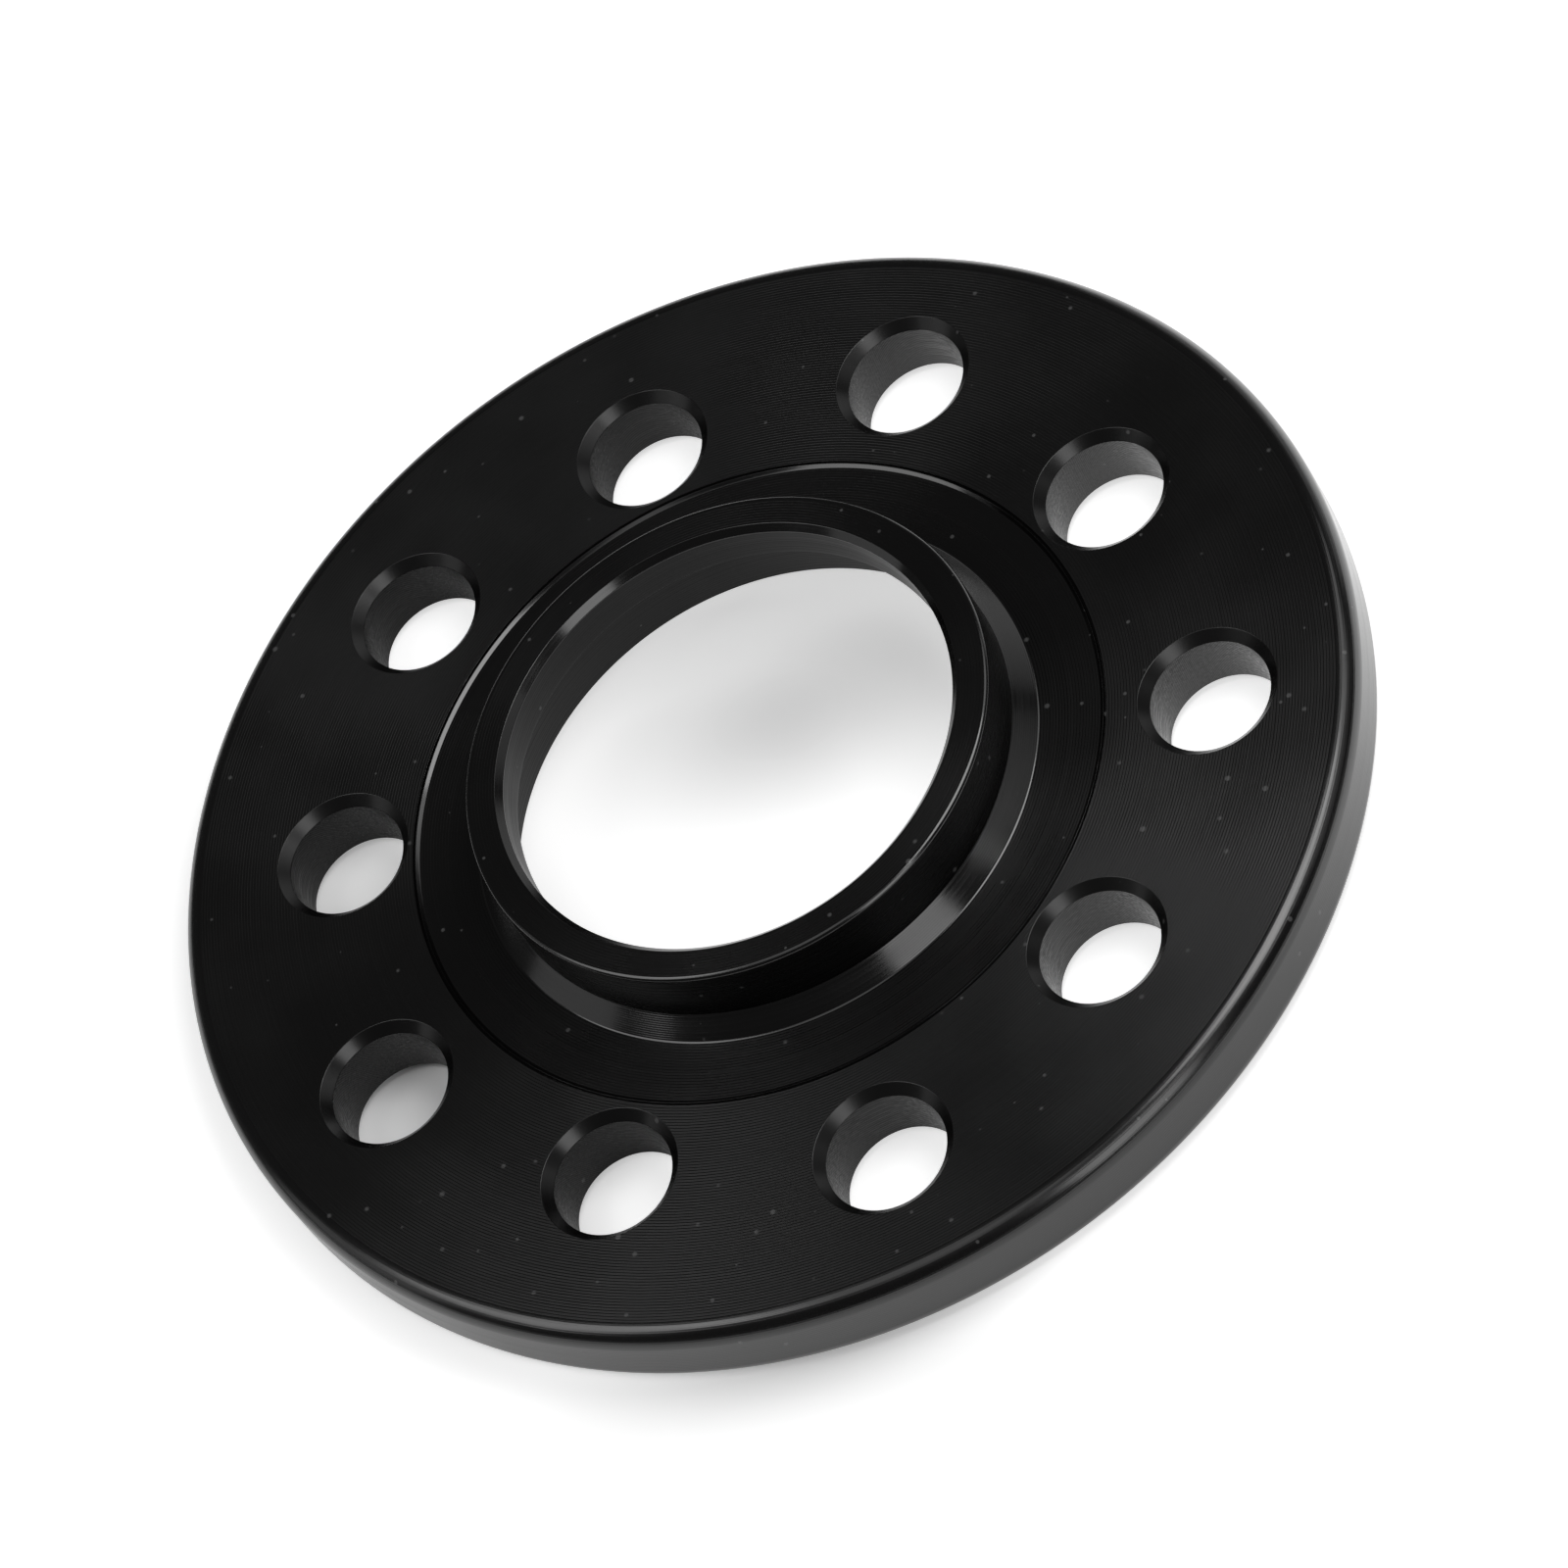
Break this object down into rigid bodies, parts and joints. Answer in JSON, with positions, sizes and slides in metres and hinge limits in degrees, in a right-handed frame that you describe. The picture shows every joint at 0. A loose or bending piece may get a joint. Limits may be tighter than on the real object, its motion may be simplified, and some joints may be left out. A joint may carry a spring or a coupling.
{
  "type": "wheel spacer",
  "caption": "Hub-centric wheel spacer: a black anodised disc with a raised centring lip, a stepped centre bore and two circles of chamfered bolt holes.",
  "frame": {"origin": "centre of the hub face, on the disc's axis, at the bottom of the part", "axes": "+Z along the disc's axis towards the wheel side and the centring lip; +X through a hole of the wider bolt circle; +Y completes a right-handed frame"},
  "size_m": [0.151, 0.151, 0.02],
  "materials": {
    "black_anodise": "black anodised, fine turned"
  },
  "bodies": {
    "root": {"wheel_spacer": "black_anodise"}
  },
  "joints": []
}
